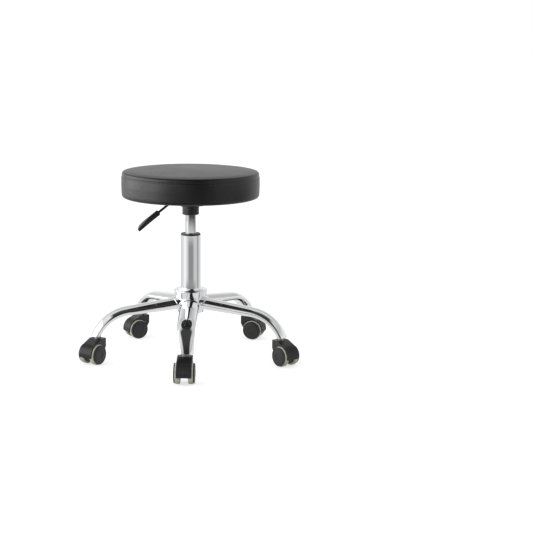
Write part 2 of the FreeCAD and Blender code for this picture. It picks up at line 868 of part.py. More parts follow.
# Casters, built with the stem on the Z axis and the wheels trailing along +X
def on_axle(shape, side):
    """Turn a wheel piece from the Z axis onto the axle, on the left (+1) or the right (-1)."""
    copy = shape.copy()
    copy.rotate(ORIGIN, ALONG, -90 * side)
    copy.translate(Vector(caster_trail, side * wheel_gap / 2, wheel_radius))
    return copy


def make_wheel():
    """Closed wheel with a blind bore, and a cap over the tyre's side that is ringed, crowned and dished."""
    bore = axle_diameter / 2 + running_clearance
    bore_depth = axle_grip + axle_end_clearance
    outer = wheel_radius - tyre_thickness - seat_clearance
    cap_round = wheel_cap_thickness / 2
    cap_z = wheel_width - wheel_cap_thickness
    cap_centre = (wheel_radius - wheel_cap_drop - cap_round, cap_z + cap_round)
    groove_edge = wheel_radius - wheel_cap_drop - wheel_groove_inset
    groove_z = wheel_width - wheel_groove_depth
    face_edge = groove_edge - wheel_groove_width
    dish = wheel_dish_diameter / 2
    dish_edge_z = wheel_width + wheel_face_crown
    crown_middle = ((face_edge + dish) / 2, wheel_width + wheel_face_crown * wheel_crown_share)
    return turned(outline(
        (bore, 0),
        (outer, 0),
        (outer, cap_z),
        (cap_centre[0], cap_z),
        corner_arc(cap_centre, cap_round, -90, 90),
        (groove_edge, wheel_width),
        (groove_edge, groove_z),
        (face_edge, groove_z),
        (face_edge, wheel_width),
        (crown_middle, (dish, dish_edge_z)),
        (dish, dish_edge_z - wheel_dish_depth),
        (0, dish_edge_z - wheel_dish_depth),
        (0, bore_depth),
        (bore, bore_depth),
    ))


def make_tyre():
    inner = wheel_radius - tyre_thickness
    width = wheel_width - wheel_cap_thickness - seat_clearance
    low = (wheel_radius - tread_round, tread_round)
    high = (wheel_radius - tread_round, width - tread_round)
    return turned(outline(
        (inner, 0),
        (low[0], 0),
        corner_arc(low, tread_round, -90, 0),
        (wheel_radius, high[1]),
        corner_arc(high, tread_round, 0, 90),
        (inner, width),
    ))


def make_axle():
    reach = wheel_gap / 2 + axle_grip
    return Part.makeCylinder(
        axle_diameter / 2, 2 * reach, Vector(caster_trail, -reach, wheel_radius), ACROSS)


def make_hood():
    """Ribbed hood with a deck cup for the stem, a web between the wheels and a well for each wheel."""
    centre = (caster_trail, wheel_radius)
    inner = wheel_radius + wheel_clearance
    outer = inner + hood_wall
    to_deck = math.hypot(deck_rear - centre[0], deck_z - centre[1])
    deck_bearing = math.degrees(math.atan2(deck_z - centre[1], deck_rear - centre[0]))
    crest_angle = deck_bearing - math.degrees(math.acos(outer / to_deck))
    rear_angle = math.degrees(math.asin((hood_rear_height - wheel_radius) / outer))
    crest = corner_arc(centre, outer, crest_angle, crest_angle)[1]
    nose_z = deck_z - hood_nose_height
    side = outline(
        (-deck_front, deck_z),
        (deck_rear, deck_z),
        crest,
        corner_arc(centre, outer, crest_angle, rear_angle),
        (caster_trail - hood_web_reach, hood_rear_height),
        (-deck_front + hood_nose_slant, hood_nose_foot),
        (-deck_front, nose_z),
    )
    half = hood_width / 2
    hood = Part.Face(side).extrude(Vector(0, hood_width, 0))
    hood.translate(Vector(0, -half, 0))
    long_edges = [edge for edge in hood.Edges if abs(abs(edge.CenterOfMass.y) - half) < 0.01]
    hood = hood.makeFillet(hood_edge_round, long_edges)
    web_half = wheel_gap / 2 - wheel_clearance
    for y_side in (-1, 1):
        start = Vector(centre[0], web_half if y_side > 0 else -web_half - half, centre[1])
        hood = hood.cut(Part.makeCylinder(inner, half, start, ACROSS))
    cup_floor = deck_z - deck_cup_depth
    pivot_floor = cup_floor - stem_pivot_length - seat_clearance
    pivot = disc(stem_pivot_diameter / 2 + running_clearance, pivot_floor, cup_floor)
    cup = disc(deck_cup_diameter / 2, cup_floor, deck_z)
    axle_hole = Part.makeCylinder(
        axle_diameter / 2 + running_clearance, hood_width, Vector(centre[0], -half, centre[1]), ACROSS)
    hood = hood.cut(pivot).cut(cup).cut(axle_hole)
    grooves = []
    groove_count = int((half - hood_edge_round) / hood_rib_pitch)
    for k in range(-groove_count, groove_count + 1):
        low_y = k * hood_rib_pitch - hood_rib_groove / 2
        corners = [Vector(centre[0] + r, y, centre[1]) for r, y in (
            (outer - hood_rib_depth, low_y),
            (outer + hood_rib_depth, low_y),
            (outer + hood_rib_depth, low_y + hood_rib_groove),
            (outer - hood_rib_depth, low_y + hood_rib_groove))]
        face = Part.Face(Part.makePolygon(corners + corners[:1]))
        groove = face.revolve(Vector(centre[0], 0, centre[1]), ACROSS, rear_angle - crest_angle)
        groove.rotate(Vector(centre[0], 0, centre[1]), ACROSS, -rear_angle)
        grooves.append(groove)
    return hood.cut(Part.Compound(grooves))


def caster_pieces():
    """The pieces of one caster by name, before it is placed under its leg."""
    wheel = make_wheel()
    tyre = make_tyre()
    return {
        "caster_hood_{}": make_hood(),
        "caster_axle_{}": make_axle(),
        "wheel_{}_left": on_axle(wheel, 1),
        "wheel_{}_right": on_axle(wheel, -1),
        "tyre_{}_left": on_axle(tyre, 1),
        "tyre_{}_right": on_axle(tyre, -1),
    }


def all_nodes():
    nodes = {
        "base_hub": make_hub(),
        "caster_stems": at_every_stem(make_stem()),
        "stem_grip_rings": at_every_stem(make_grip_ring()),
        "column_tube": make_column_tube(),
        "guide_bushing": make_guide_bushing(),
        "thrust_bearing": make_thrust_bearing(),
        "piston_rod": make_piston_rod(),
        "piston_head": make_piston_head(),
        "rod_clip": make_rod_clip(),
        "stop_bumper": make_stop_bumper(),
    }
    leg = make_leg()
    for k in range(leg_count):
        nodes["base_leg_{}".format(k + 1)] = spun(leg, first_leg_angle + k * 360 / leg_count)
    seat_nodes = {
        "gas_cylinder": make_gas_cylinder(),
        "rod_guide": make_rod_guide(),
        "taper_socket": make_taper_socket(),
        "socket_collar": make_socket_collar(),
        "seat_plate": make_seat_plate(),
        "lever_pivot_pin": make_pivot_pin(),
        "plate_bolts": make_plate_bolts(),
        "tee_nuts": make_tee_nuts(),
        "seat_board": make_seat_board(),
        "seat_foam": make_seat_foam(),
        "seat_cover": make_seat_cover(),
        "dust_cover": make_dust_cover(),
        "lever_rod": make_lever_rod(),
        "lever_handle": make_lever_handle(),
        "release_button": make_release_button(),
    }
    for name, shape in seat_nodes.items():
        nodes[name] = spun(shape, seat_turn)
    pieces = caster_pieces()
    for k, place in enumerate(stem_places()):
        for name, shape in pieces.items():
            copy = spun(shape, caster_headings[k])
            copy.translate(place)
            nodes[name.format(k + 1)] = copy
    return nodes


os.makedirs("parts", exist_ok=True)
for node_name, node_shape in all_nodes().items():
    node_shape.exportStep(os.path.join("parts", node_name + ".step"))
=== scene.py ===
"""Looks for a rolling technician stool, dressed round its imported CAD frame."""

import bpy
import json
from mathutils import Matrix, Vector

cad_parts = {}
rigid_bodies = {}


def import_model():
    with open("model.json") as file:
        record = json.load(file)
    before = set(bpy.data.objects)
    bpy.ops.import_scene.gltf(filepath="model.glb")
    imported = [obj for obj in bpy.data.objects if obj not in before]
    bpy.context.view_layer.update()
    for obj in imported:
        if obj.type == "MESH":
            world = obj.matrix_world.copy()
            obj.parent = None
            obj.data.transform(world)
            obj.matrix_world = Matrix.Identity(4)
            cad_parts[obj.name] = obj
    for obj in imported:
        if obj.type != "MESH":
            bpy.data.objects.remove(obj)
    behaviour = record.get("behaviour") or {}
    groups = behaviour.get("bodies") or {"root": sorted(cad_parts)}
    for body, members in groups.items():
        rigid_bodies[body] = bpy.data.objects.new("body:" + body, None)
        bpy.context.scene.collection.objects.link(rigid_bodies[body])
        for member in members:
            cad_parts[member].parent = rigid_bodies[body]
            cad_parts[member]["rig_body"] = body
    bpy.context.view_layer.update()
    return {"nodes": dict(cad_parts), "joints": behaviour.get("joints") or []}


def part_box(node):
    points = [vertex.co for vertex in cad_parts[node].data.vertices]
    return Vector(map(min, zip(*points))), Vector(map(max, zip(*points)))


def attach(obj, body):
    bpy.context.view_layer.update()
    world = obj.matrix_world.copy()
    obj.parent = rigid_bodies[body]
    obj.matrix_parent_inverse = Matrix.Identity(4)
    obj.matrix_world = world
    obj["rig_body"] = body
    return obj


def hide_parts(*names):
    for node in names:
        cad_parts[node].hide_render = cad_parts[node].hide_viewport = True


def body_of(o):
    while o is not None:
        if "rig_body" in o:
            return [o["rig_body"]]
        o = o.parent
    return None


bl_info = {
    "name": "Technician stool",
    "version": (1, 0, 0),
    "blender": (4, 5, 0),
    "location": "View3D > Sidebar > Stool",
    "description": "Dresses a gas-lift stool with a padded seat, a chromed base and twin-wheel casters",
    "category": "Object",
}

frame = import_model()

import json
import math

import bpy
from mathutils import Matrix, Quaternion, Vector

UP = Vector((0, 0, 1))
IMAGE_SIDE = 533
SENSOR_WIDTH = 36.0
CASTERS = range(1, 6)
SIDES = ("left", "right")
SEAT_STEPS = 160
CLOTH_STEPS = 120
ROOM_STEPS = 48
LEG_RINGS = 44
LEG_SIDES = 56
SOLVER_FRAMES = 20
# Share of the swelling that the cushion starts short of, and of the seat's radius where its side begins
SWELL_INSET = 0.4
SIDE_SHARE = 0.85
# Seam's reach in seam widths, and a held point's distance from it in voxels
SEAM_REACH = 12
SEAM_HOLD = 0.6
# Leg's CAD points this near to a stem belong to the leg's cut end
STEM_REACH = 0.012
FLAT_ANGLE = math.radians(0.5)
EDGE_ANGLE = math.radians(40)
ROOM_RADIUS = 5.0
# Soft edge of the dark side, and where the glow on the lamp's side starts and is full, aside and up
DARK_EDGE = 0.06
GLOW_ASIDE = (-0.3, -0.7)
GLOW_UP = (0.25, 0.45)
ROOM_FLOOR = 0.002
WELD_DISTANCE = 0.000001
# Height as a share of the room's radius, and brightness there, on the pale sides and on the dark one
PALE_BANDS = ((0.0, 0.98), (0.25, 0.90), (0.48, 0.55), (0.75, 0.72), (1.0, 0.85))
DARK_BANDS = ((0.0, 0.015), (0.30, 0.02), (0.55, 0.026), (0.85, 0.055))
# Heading, reach of full and no shade to each side, where it starts and ends on the floor, and depth, which
# is below zero where the floor is brighter
FLOOR_SHADES = (
    (0, 44, 66, (0.36, 0.46), (1.0, 0.72), 0.96),
    (3, 18, 42, (0.75, 1.0), (2.0, 1.6), 0.62),
    (26, 50, 92, (1.85, 2.3), (9.0, 8.0), 0.93),
    (80, 15, 50, (0.5, 0.9), (9.0, 8.0), 0.22),
    (-80, 26, 58, (2.8, 3.3), (9.0, 8.0), -4.0),
    (84, 28, 60, (2.8, 3.3), (9.0, 8.0), 0.45),
    (-70, 10, 24, (0.5, 0.7), (2.7, 2.4), -0.32),
    (88, 3, 9, (0.5, 0.7), (2.7, 2.4), 0.55),
)


# Facts read from the frame
def joint(name):
    return next(entry for entry in frame["joints"] if entry["name"] == name)


def node_radius(name):
    low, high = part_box(name)
    return (high.x - low.x) / 2


SEAT_LOW, SEAT_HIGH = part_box("seat_cover")
SEAT_RADIUS = node_radius("seat_cover")
BOARD_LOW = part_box("seat_board")[0]
CLOTH_LOW, CLOTH_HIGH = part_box("dust_cover")
LEVER_PIVOT = Vector(joint("lever_lift")["pos_m"])
LEVER_TURN = math.atan2(LEVER_PIVOT.y, LEVER_PIVOT.x) + math.pi


# Sizes and colours that a user would change
def length(name, default, description):
    return bpy.props.FloatProperty(
        name=name, description=description, default=default, unit="LENGTH", precision=4)


def angle(name, default, description):
    return bpy.props.FloatProperty(
        name=name, description=description, default=math.radians(default), subtype="ANGLE")


def amount(name, default, description):
    return bpy.props.FloatProperty(name=name, description=description, default=default)


def colour(name, default, description):
    return bpy.props.FloatVectorProperty(
        name=name, description=description, default=default, subtype="COLOR", size=3, min=0, max=1)


class SeatLook(bpy.types.PropertyGroup):
    """Sizes and colours of the padded seat."""
    crown: length("Crown", 0.003, "Rise of the top panel at its middle")
    top_round: length("Top round", 0.0055, "Radius of the roll at the top edge")
    foot_round: length("Foot round", 0.008, "Radius of the fold at the bottom edge")
    side_bulge: length("Side bulge", 0.0007, "How far the side swells past its edges")
    seam_drop: length("Seam drop", 0.0115, "Seam below the top panel's edge")
    seam_depth: length("Seam depth", 0.0009, "Depth of the sewn seam")
    seam_width: length("Seam width", 0.0019, "Half width of the sewn seam")
    pucker: length("Pucker", 0.00009, "Height of the small gathers along the seam")
    pucker_count: bpy.props.IntProperty(name="Puckers", description="Gathers round the seam", default=94)
    swell: length("Swell", 0.0011, "Furthest that the stuffing moves the cover")
    tightness: amount("Tightness", 0.85, "How far the cover is pulled even round the seat")
    pressure: amount("Pressure", 4.0, "Pressure of the stuffing in the cloth solver")
    voxel: length("Voxel", 0.0035, "Mesh size for the cloth solver")
    board_gap: length("Board gap", 0.001, "Stuffing above the board's underside")
    lip_width: length("Lip width", 0.034, "Cover folded under the board")
    cloth_gap: length("Cloth gap", 0.0001, "Lip's inner edge to the dust cloth")
    stitch_length: length("Stitch length", 0.0044, "Thread seen in one stitch")
    stitch_pitch: length("Stitch pitch", 0.0062, "Distance from stitch to stitch")
    thread: length("Thread", 0.0008, "Thickness of the thread")
    leather: colour("Leatherette", (0.007, 0.007, 0.0073), "Colour of the cover")
    thread_colour: colour("Thread", (0.035, 0.035, 0.037), "Colour of the thread")
    cloth: colour("Dust cloth", (0.018, 0.018, 0.019), "Colour of the cloth under the seat")
    staple_count: bpy.props.IntProperty(name="Staples", description="Staples in the dust cloth", default=30)
    staple_length: length("Staple", 0.010, "Crown of one staple")
    staple_wire: length("Staple wire", 0.0008, "Wire of one staple")


class LeverLook(bpy.types.PropertyGroup):
    """Sizes and colours of the release lever's grip."""
    slope: angle("Slope", 37.0, "Fall of the lever's rod under the seat")
    bend_reach: length("Bend reach", 0.041, "Column's axis to the bend in the rod")
    start: length("Start", 0.049, "Bend to the grip's near end")
    grip_length: length("Length", 0.064, "Length of the grip")
    cap_length: length("Cap length", 0.004, "First slice of the grip, where the rod goes in")
    sleeve_length: length("Sleeve length", 0.026, "Straight sleeve on the rod")
    sleeve_width: length("Sleeve width", 0.013, "Sleeve across")
    sleeve_thickness: length("Sleeve thickness", 0.012, "Sleeve from top to bottom")
    blade_width: length("Blade width", 0.022, "Blade across")
    blade_thickness: length("Blade thickness", 0.0095, "Blade at its middle")
    tip_thickness: length("Tip thickness", 0.008, "Blade at its tip")
    tip_skew: angle("Tip skew", -20.0, "Slant of the blade's end")
    edge_round: length("Edge round", 0.0019, "Rounding of the grip's long edges")
    droop: length("Droop", 0.0015, "Fall of the tip below the rod's line")


class ChromeLook(bpy.types.PropertyGroup):
    """Sizes of the legs and colours of the metal."""
    tip_overhang: length("Tip overhang", 0.0035, "Leg's end past its stem")
    tip_slope: angle("Tip slope", 66.0, "Fall of a leg at its tip")
    root_slope: angle("Root slope", 5.5, "Fall of a leg's straight run")
    bend_radius: length("Bend radius", 0.0965, "Radius of a leg's bend")
    root_width: length("Root width", 0.050, "Leg across at the hub")
    root_height: length("Root height", 0.029, "Leg from top to bottom at the hub")
    bend_width: length("Bend width", 0.045, "Leg across where it starts to bend")
    bend_height: length("Bend height", 0.0225, "Leg from top to bottom where it starts to bend")
    tip_width: length("Tip width", 0.040, "Leg across at its tip")
    tip_height: length("Tip height", 0.021, "Leg from top to bottom at its tip")
    inner_radius: length("Inner radius", 0.030, "Column's axis to a leg's hidden end")
    edge_round: length("Edge round", 0.0012, "Rounding of a leg's cut end")
    plate_round: length("Plate round", 0.0004, "Rounding of the seat plate's edges")
    plate: colour("Chrome", (0.86, 0.865, 0.875), "Colour of the plating")
    steel: colour("Steel", (0.52, 0.52, 0.53), "Colour of plain steel")
    paint: colour("Paint", (0.014, 0.014, 0.015), "Colour of the black steel")


class PlasticLook(bpy.types.PropertyGroup):
    """Colours of the plastic and rubber pieces."""
    moulding: colour("Mouldings", (0.013, 0.013, 0.0135), "Collar, guide and grip")
    caster: colour("Casters", (0.012, 0.0123, 0.0126), "Hoods and wheels")
    tread: colour("Tread", (0.58, 0.58, 0.47), "Soft treads")
    hood_round: length("Hood round", 0.0003, "Rounding of the hoods' edges")
    bumper: colour("Bumper", (0.02, 0.02, 0.02), "Rubber stop in the column")


class StageLook(bpy.types.PropertyGroup):
    """Camera, floor and light."""
    distance: length("Distance", 3.1145, "Camera from the column's axis along the floor")
    height: length("Height", 0.8293, "Camera above the floor")
    azimuth: angle("Azimuth", 3.2, "Camera's turn from the front leg towards +X")
    aim_height: length("Aim height", 0.230, "Point on the column's axis that the camera was fitted to")
    aim_pixel_x: amount("Aim pixel X", 190.7, "Column of the image where that point lies")
    aim_pixel_y: amount("Aim pixel Y", 265.3, "Row of the image where that point lies")
    focal_pixels: amount("Focal length", 1275.5, "Focal length in pixels of the image")
    floor: colour("Floor", (0.60, 0.60, 0.60), "Colour of the floor under the lamps")
    floor_glow: amount("Floor glow", 0.62, "Brightness added to the floor, so that it reads as white")
    floor_mirror: amount("Floor in metal", 0.80, "Brightness of the floor that metal mirrors")
    dark_height: angle("Dark height", 44.0, "Height of the middle of the dark side of the room")
    dark_inner: angle("Dark inner", 56.0, "Reach of the darkest part from its middle")
    dark_outer: angle("Dark outer", 72.0, "Reach of the dark side from its middle")
    dark_width: amount("Dark width", 0.56, "Half width of the dark side overhead, in the room's radius")
    dark_taper: amount("Dark taper", 0.27, "How much narrower the dark side is ahead")
    dark_lean: amount("Dark lean", 0.25, "How far the dark side leans to the right when low")
    left_glow: amount("Left glow", 0.35, "How much brighter the room is high on the lamp's side")
    ambient: amount("Ambient", 0.78, "Brightness of the light from all round")
    key: amount("Key lamp", 52.0, "Power of the soft lamp on the left")
    key_width: length("Key width", 4.2, "Lamp across")
    key_height: length("Key height", 1.8, "Lamp from top to bottom")
    key_aim: length("Key aim", 0.42, "Height on the column's axis that the lamp faces")
    key_place: bpy.props.FloatVectorProperty(
        name="Key place", description="Middle of the lamp", default=(-2.5, -0.4, 0.95), subtype="TRANSLATION")


# Shader graphs
class Wire:
    """A value in a shader graph that takes part in Python arithmetic."""

    def __init__(self, graph, socket):
        self.graph = graph
        self.socket = socket

    def math(self, operation, first, second):
        return self.graph.node("ShaderNodeMath", {"operation": operation}, {0: first, 1: second})

    def __add__(self, other):
        return self.math("ADD", self, other)

    def __sub__(self, other):
        return self.math("SUBTRACT", self, other)

    def __rsub__(self, other):
        return self.math("SUBTRACT", other, self)

    def __mul__(self, other):
        return self.math("MULTIPLY", self, other)

    def over(self, other):
        return self.math("DIVIDE", self, other)

    __radd__ = __add__
    __rmul__ = __mul__


class Graph:
    """The node tree of a material or a world."""

    def __init__(self, owner):
        owner.use_nodes = True
        self.tree = owner.node_tree
        self.tree.nodes.clear()

    def node(self, kind, settings=None, inputs=None, output=0):
        """Add a node, set its settings, then its sockets' values or links, and return one output."""
        node = self.tree.nodes.new(kind)
        for name, value in (settings or {}).items():
            if name == "stops":
                self.set_stops(node.color_ramp.elements, value)
            else:
                setattr(node, name, value)
        for name, value in (inputs or {}).items():
            if isinstance(value, Wire):
                self.tree.links.new(value.socket, node.inputs[name])
            else:
                node.inputs[name].default_value = value
        return Wire(self, node.outputs[output]) if node.outputs else node

    def set_stops(self, elements, stops):
        elements.remove(elements[-1])
        elements[0].position, first = stops[0]
        elements[0].color = (first, first, first, 1)
        for position, value in stops[1:]:
            elements.new(position).color = (value, value, value, 1)

    def place(self):
        return self.node("ShaderNodeTexCoord", output="Object")

    def stretched(self, scale):
        return self.node("ShaderNodeMapping", None, {"Vector": self.place(), "Scale": scale})

    def noise(self, scale, detail=2.0, vector=None):
        vector = vector or self.place()
        return self.node("ShaderNodeTexNoise", None, {"Vector": vector, "Scale": scale, "Detail": detail})

    def ramp(self, value, low, high):
        """Stretch a range of a value to 0 to 1."""
        return self.node("ShaderNodeMapRange", {"clamp": True}, {0: value, 1: low, 2: high})

    def dot(self, vector, other):
        settings = {"operation": "DOT_PRODUCT"}
        return self.node("ShaderNodeVectorMath", settings, {0: vector, 1: other}, "Value")

    def stops(self, value, bands):
        """Brightness that changes in steady slopes from band to band."""
        return self.node("ShaderNodeValToRGB", {"stops": bands}, {0: value})

    def tint(self, share, dark, light):
        """Blend two colours by a share."""
        settings = {"data_type": "RGBA"}
        inputs = {0: share, 6: (*dark, 1), 7: (*light, 1)}
        return self.node("ShaderNodeMix", settings, inputs, output=2)

    def bump(self, height, distance, strength=1.0):
        inputs = {"Height": height, "Distance": distance, "Strength": strength}
        return self.node("ShaderNodeBump", None, inputs)


def shade(colour_value, factor):
    return tuple(min(1.0, part * factor) for part in colour_value)


FINISHES = {}


def new_material(name, build):
    """Make a material once, with its Principled sockets filled by a function of its graph."""
    if name not in FINISHES:
        FINISHES[name] = bpy.data.materials.new(name)
        graph = Graph(FINISHES[name])
        shader = graph.node("ShaderNodeBsdfPrincipled", None, build(graph))
        graph.node("ShaderNodeOutputMaterial", None, {"Surface": shader})
    return FINISHES[name]


def chrome_plate(look):
    """Bright plating with a faint polishing haze and the odd smudge."""
    def build(graph):
        haze = graph.noise(24.0, 4.0)
        fine = graph.noise(520.0, 2.0)
        smudge = graph.ramp(graph.noise(9.0, 3.0), 0.56, 0.74)
        return {
            "Base Color": graph.tint(haze, shade(look.plate, 0.97), look.plate),
            "Metallic": 1.0,
            "Roughness": 0.022 + haze * 0.022 + fine * 0.012 + smudge * 0.035,
            "Normal": graph.bump(graph.noise(60.0, 1.0), 0.00004, 0.35),
        }
    return new_material("chrome_plate", build)


def plain_steel(look):
    """Turned steel with drawn lines and dull patches."""
    def build(graph):
        lines = graph.noise(1.0, 3.0, graph.stretched((260.0, 260.0, 2400.0)))
        dull = graph.noise(70.0, 4.0)
        return {
            "Base Color": graph.tint(dull, shade(look.steel, 0.72), shade(look.steel, 1.12)),
            "Metallic": 1.0,
            "Roughness": 0.22 + lines * 0.12 + dull * 0.10,
            "Normal": graph.bump(lines, 0.00003, 0.5),
        }
    return new_material("plain_steel", build)


def powder_coat(look):
    """Black paint with a fine orange-peel skin."""
    def build(graph):
        peel = graph.noise(900.0, 2.0)
        dust = graph.ramp(graph.noise(60.0, 5.0), 0.48, 0.80)
        return {
            "Base Color": graph.tint(dust, look.paint, shade(look.paint, 1.9)),
            "Roughness": 0.40 + peel * 0.10 + dust * 0.10,
            "Normal": graph.bump(peel, 0.00008, 0.45),
        }
    return new_material("powder_coat", build)


def moulded_plastic(name, base, roughness):
    """Black moulding with a spark-eroded skin and slight scuffs."""
    def build(graph):
        skin = graph.noise(2600.0, 3.0)
        cloud = graph.noise(45.0, 4.0)
        scuff = graph.ramp(graph.noise(1.0, 4.0, graph.stretched((90.0, 90.0, 600.0))), 0.60, 0.85)
        return {
            "Base Color": graph.tint(cloud, shade(base, 0.8), shade(base, 1.35)),
            "Roughness": roughness + skin * 0.08 + scuff * 0.10 + cloud * 0.06,
            "Normal": graph.bump(skin, 0.00005, 0.5),
        }
    return new_material(name, build)


def soft_tread(look):
    """Grey-olive polyurethane, darker where it has rolled."""
    def build(graph):
        grime = graph.ramp(graph.noise(130.0, 5.0), 0.35, 0.75)
        pores = graph.noise(1500.0, 3.0)
        return {
            "Base Color": graph.tint(grime, look.tread, shade(look.tread, 0.70)),
            "Roughness": 0.46 + pores * 0.12 + grime * 0.12,
            "Normal": graph.bump(pores, 0.00006, 0.5),
        }
    return new_material("soft_tread", build)


def bumper_rubber(look):
    def build(graph):
        bloom = graph.noise(220.0, 4.0)
        return {
            "Base Color": graph.tint(bloom, shade(look.bumper, 0.7), shade(look.bumper, 1.8)),
            "Roughness": 0.62 + bloom * 0.2,
            "Normal": graph.bump(bloom, 0.0001, 0.4),
        }
    return new_material("bumper_rubber", build)


def leatherette(look):
    """Black coated cloth with an embossed pebble grain and a soft gloss; its colour is darker in the grain's
    valleys as painted shade.
    """
    def build(graph):
        place = graph.place()
        drift = graph.noise(300.0, 2.0, place)
        pebble = graph.node(
            "ShaderNodeTexVoronoi", {"feature": "SMOOTH_F1"},
            {"Vector": place, "Scale": 820.0, "Smoothness": 0.35, "Randomness": 0.95})
        valley = graph.ramp(pebble, 0.30, 0.85)
        creases = graph.noise(1900.0, 3.0, place)
        broad = graph.noise(11.0, 3.0, place)
        grain = 1.0 - valley * 0.8 - creases * 0.25 + drift * 0.2
        return {
            # Painted shade: the colour darkens in the grain's valleys and is lighter on the pebble tops
            "Base Color": graph.tint(valley, shade(look.leather, 1.18), shade(look.leather, 0.62)),
            "Roughness": 0.26 + valley * 0.10 + broad * 0.10,
            "Normal": graph.bump(grain, 0.00012, 0.55),
        }
    return new_material("leatherette", build)


def sewing_thread(look):
    def build(graph):
        twist = graph.node(
            "ShaderNodeTexWave", {"bands_direction": "DIAGONAL"},
            {"Vector": graph.place(), "Scale": 620.0, "Distortion": 0.6})
        return {
            "Base Color": graph.tint(twist, shade(look.thread_colour, 0.55), look.thread_colour),
            "Roughness": 0.45 + twist * 0.15,
            "Normal": graph.bump(twist, 0.0001, 0.6),
        }
    return new_material("sewing_thread", build)


def dust_cloth(look):
    """Black non-woven cloth with pressed dots."""
    def build(graph):
        place = graph.place()
        dots = graph.node(
            "ShaderNodeTexVoronoi", {"feature": "F1"}, {"Vector": place, "Scale": 480.0, "Randomness": 0.25})
        pressed = graph.ramp(dots, 0.18, 0.42)
        fibres = graph.noise(1400.0, 5.0, place)
        return {
            "Base Color": graph.tint(fibres, shade(look.cloth, 0.6), shade(look.cloth, 1.5)),
            "Roughness": 0.75 + pressed * 0.15,
            "Normal": graph.bump(pressed + fibres * 0.5, 0.0002, 0.6),
        }
    return new_material("dust_cloth", build)


def plywood():
    """Birch ply with a drifting grain."""
    def build(graph):
        grain = graph.noise(1.0, 5.0, graph.stretched((14.0, 190.0, 190.0)))
        return {
            "Base Color": graph.tint(grain, (0.42, 0.29, 0.17), (0.62, 0.47, 0.30)),
            "Roughness": 0.55 + grain * 0.2,
            "Normal": graph.bump(grain, 0.0002, 0.4),
        }
    return new_material("plywood", build)


# Modelling by hand
def start_fresh():
    """Go back to object mode and deselect everything, so that operators act on the next piece alone."""
    if bpy.context.object and bpy.context.object.mode != "OBJECT":
        bpy.ops.object.mode_set(mode="OBJECT")
    bpy.ops.object.select_all(action="DESELECT")


def take(piece):
    """Make a piece the only one selected."""
    start_fresh()
    piece.select_set(True)
    bpy.context.view_layer.objects.active = piece


def edit(kind="VERT"):
    bpy.ops.object.mode_set(mode="EDIT")
    bpy.ops.mesh.select_mode(type=kind)


def done():
    bpy.ops.object.mode_set(mode="OBJECT")


def select_mesh():
    bpy.ops.mesh.select_all(action="SELECT")


def fix_place():
    bpy.ops.object.transform_apply(location=True, rotation=True, scale=True)


def clean_mesh():
    """Merge doubled points and turn the faces outwards, in edit mode."""
    select_mesh()
    bpy.ops.mesh.remove_doubles(threshold=WELD_DISTANCE)
    bpy.ops.mesh.normals_make_consistent(inside=False)


def arc(centre, radius, start, end, steps=8):
    """Outline points of an arc about a centre, ends included, with its angles in degrees."""
    points = []
    for step in range(steps + 1):
        turn = math.radians(start + (end - start) * step / steps)
        points.append((centre[0] + radius * math.cos(turn), centre[1] + radius * math.sin(turn)))
    return points


def lathe(profile, steps):
    """Draw an outline of (radius, height) points edge by edge and spin it round the Z axis."""
    start_fresh()
    bpy.ops.mesh.primitive_plane_add(size=0.001)
    edit()
    bpy.ops.mesh.merge(type="CENTER")
    bpy.ops.transform.translate(value=(profile[0][0], 0, profile[0][1]))
    for here, there in zip(profile, profile[1:]):
        step = (there[0] - here[0], 0, there[1] - here[1])
        bpy.ops.mesh.extrude_vertices_move(TRANSFORM_OT_translate={"value": step})
    select_mesh()
    bpy.ops.mesh.spin(steps=steps, angle=math.tau, center=(0, 0, 0), axis=UP)
    clean_mesh()
    done()
    return bpy.context.object


def ring_of_copies(count):
    """Repeat what is selected in edit mode evenly round the Z axis."""
    share = math.tau * (count - 1) / count
    bpy.ops.mesh.spin(steps=count - 1, angle=share, dupli=True, center=(0, 0, 0), axis=UP)


def apply_modifier(piece, kind, **settings):
    take(piece)
    modifier = piece.modifiers.new(kind.lower(), kind)
    for name, value in settings.items():
        setattr(modifier, name, value)
    bpy.ops.object.modifier_apply(modifier=modifier.name)


def turn_mesh(piece, turn):
    """Turn a piece's mesh about the column's axis."""
    piece.data.transform(Matrix.Rotation(turn, 4, UP))


def settle(piece, name, material, body, nodes=(), smooth=35):
    """Name, smooth and colour a finished piece, and hang it on its body in place of CAD nodes."""
    take(piece)
    piece.name = name
    piece.data.name = name
    fix_place()
    bpy.ops.object.shade_smooth_by_angle(angle=math.radians(smooth))
    piece.data.materials.clear()
    piece.data.materials.append(material)
    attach(piece, body)
    if nodes:
        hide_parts(*nodes)


def finish_nodes(material, *nodes):
    """Give CAD nodes a material."""
    for name in nodes:
        slots = frame["nodes"][name].data.materials
        slots.clear()
        slots.append(material)


def soften(node, name, material, width):
    """Copy a CAD node, join its triangles into plain faces and round its edges."""
    source = frame["nodes"][node]
    piece = bpy.data.objects.new(name, source.data.copy())
    bpy.context.scene.collection.objects.link(piece)
    take(piece)
    edit()
    select_mesh()
    bpy.ops.mesh.remove_doubles(threshold=WELD_DISTANCE)
    bpy.ops.mesh.dissolve_limited(angle_limit=FLAT_ANGLE)
    done()
    apply_modifier(
        piece, "BEVEL", width=width, segments=2, limit_method="ANGLE", angle_limit=EDGE_ANGLE,
        use_clamp_overlap=False, miter_outer="MITER_ARC")
    settle(piece, name, material, body_of(source)[0], (node,), 40)


